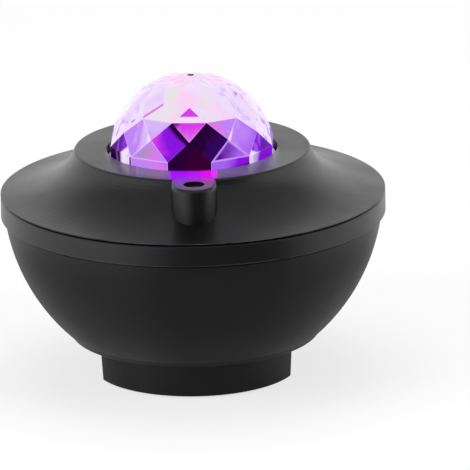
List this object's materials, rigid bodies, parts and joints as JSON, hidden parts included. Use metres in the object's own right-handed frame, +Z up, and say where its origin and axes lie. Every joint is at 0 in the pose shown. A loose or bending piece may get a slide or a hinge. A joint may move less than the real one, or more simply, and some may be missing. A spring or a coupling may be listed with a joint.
{
  "type": "star night light projector",
  "caption": "Table-top night light: round bowl with a flared cover, a faceted clear dome that turns over coloured lamps, a laser turret and a speaker in the foot.",
  "frame": {"origin": "centre of the underside, on the surface it stands on", "axes": "+Z up along the dome's axis, -Y towards the laser turret at the front, +X to the right seen from the front"},
  "size_m": [0.168, 0.168, 0.1336],
  "materials": {
    "housing_black": "satin moulded ABS",
    "base_plastic": "fine spark-eroded texture",
    "foot_rubber": "matte",
    "screw_steel": "zinc plated",
    "foam": "foam",
    "basket_black": "black painted",
    "magnet_steel": "ferrite between steel plates",
    "cone_paper": "coated paper",
    "board_green": "solder mask",
    "board_blue": "solder mask",
    "board_black": "black solder mask on aluminium",
    "chip_black": "moulded epoxy",
    "capacitor_sleeve": "shrunk sleeve",
    "ivory_nylon": "nylon",
    "socket_steel": "tin plated",
    "frame_plastic": "moulded ABS",
    "sink_aluminium": "as stamped",
    "lamp_resin": "clear resin",
    "reflector_white": "white",
    "dome_clear": "clear moulded acrylic with flat facets",
    "shaft_steel": "ground",
    "clip_steel": "black oxide",
    "gear_acetal": "acetal",
    "bush_bronze": "sintered",
    "bridge_steel": "zinc plated sheet",
    "motor_steel": "nickel plated",
    "laser_brass": "turned",
    "lens_glass": "clear",
    "window_tint": "dark tinted",
    "button_black": "moulded"
  },
  "bodies": {
    "housing": {"rubber_feet": "foot_rubber", "base_plate": "base_plastic", "base_screws": "screw_steel", "lower_bowl": "housing_black", "upper_cover": "housing_black", "speaker_gasket": "foam", "speaker_basket": "basket_black", "speaker_magnet": "magnet_steel", "speaker_surround": "foot_rubber", "speaker_screws": "screw_steel", "main_board": "board_green", "board_screws": "screw_steel", "bluetooth_module": "board_blue", "board_chips": "chip_black", "board_capacitors": "capacitor_sleeve", "wire_sockets": "ivory_nylon", "usb_socket": "socket_steel", "power_inlet": "socket_steel", "chassis": "frame_plastic", "chassis_screws": "screw_steel", "heat_sink": "sink_aluminium", "led_board": "board_black", "led_lamps": "lamp_resin", "led_screws": "screw_steel", "ir_receiver": "chip_black", "reflector_ring": "reflector_white", "upper_bush": "bush_bronze", "lower_bush": "bush_bronze", "drive_bridge": "bridge_steel", "bridge_screws": "screw_steel", "dome_motor": "motor_steel", "motor_screws": "screw_steel", "laser_bracket": "frame_plastic", "laser_screws": "screw_steel", "laser_module": "laser_brass", "laser_lens": "lens_glass", "grating_motor": "motor_steel", "laser_window": "window_tint", "button_board": "board_green", "switch_bodies": "chip_black", "switch_screws": "screw_steel"},
    "dome": {"crystal_dome": "dome_clear", "dome_shaft": "shaft_steel", "dome_gear": "gear_acetal", "retaining_clip": "clip_steel"},
    "dome_drive": {"motor_shaft": "shaft_steel", "motor_pinion": "gear_acetal"},
    "grating": {"grating_carrier": "gear_acetal", "grating_disc": "lens_glass"},
    "grating_drive": {"grating_shaft": "shaft_steel", "grating_pinion": "gear_acetal"},
    "speaker_diaphragm": {"speaker_cone": "cone_paper"},
    "power_key": {"power_button": "button_black", "power_plunger": "chip_black"},
    "light_key": {"light_button": "button_black", "light_plunger": "chip_black"},
    "laser_key": {"laser_button": "button_black", "laser_plunger": "chip_black"},
    "mode_key": {"mode_button": "button_black", "mode_plunger": "chip_black"}
  },
  "joints": [
    {"name": "dome_spin", "type": "hinge", "parent": "housing", "child": "dome", "pos_m": [0, 0, 0.1], "axis": [0, 0, 1], "continuous": true},
    {"name": "dome_drive_spin", "type": "hinge", "parent": "housing", "child": "dome_drive", "pos_m": [0, 0.0224, 0.08], "axis": [0, 0, 1], "continuous": true},
    {"name": "grating_spin", "type": "hinge", "parent": "housing", "child": "grating", "pos_m": [0, -0.0579, 0.08], "axis": [0, 0, 1], "continuous": true},
    {"name": "grating_drive_spin", "type": "hinge", "parent": "housing", "child": "grating_drive", "pos_m": [0.014, -0.0579, 0.08], "axis": [0, 0, 1], "continuous": true},
    {"name": "diaphragm_travel", "type": "slide", "parent": "housing", "child": "speaker_diaphragm", "axis": [0, 0, 1], "range_m": [-0.0008, 0.0008], "stiffness_N_per_m": 800},
    {"name": "power_press", "type": "slide", "parent": "housing", "child": "power_key", "axis": [0, 0.309, 0.9511], "range_m": [-0.0005, 0], "stiffness_N_per_m": 400},
    {"name": "light_press", "type": "slide", "parent": "housing", "child": "light_key", "axis": [0, 0.309, 0.9511], "range_m": [-0.0005, 0], "stiffness_N_per_m": 400},
    {"name": "laser_press", "type": "slide", "parent": "housing", "child": "laser_key", "axis": [0, 0.309, 0.9511], "range_m": [-0.0005, 0], "stiffness_N_per_m": 400},
    {"name": "mode_press", "type": "slide", "parent": "housing", "child": "mode_key", "axis": [0, 0.309, 0.9511], "range_m": [-0.0005, 0], "stiffness_N_per_m": 400}
  ],
  "couplings": [
    {"joint": "dome_drive_spin", "follows": "dome_spin", "ratio": -2.5},
    {"joint": "grating_drive_spin", "follows": "grating_spin", "ratio": -3.6667}
  ]
}
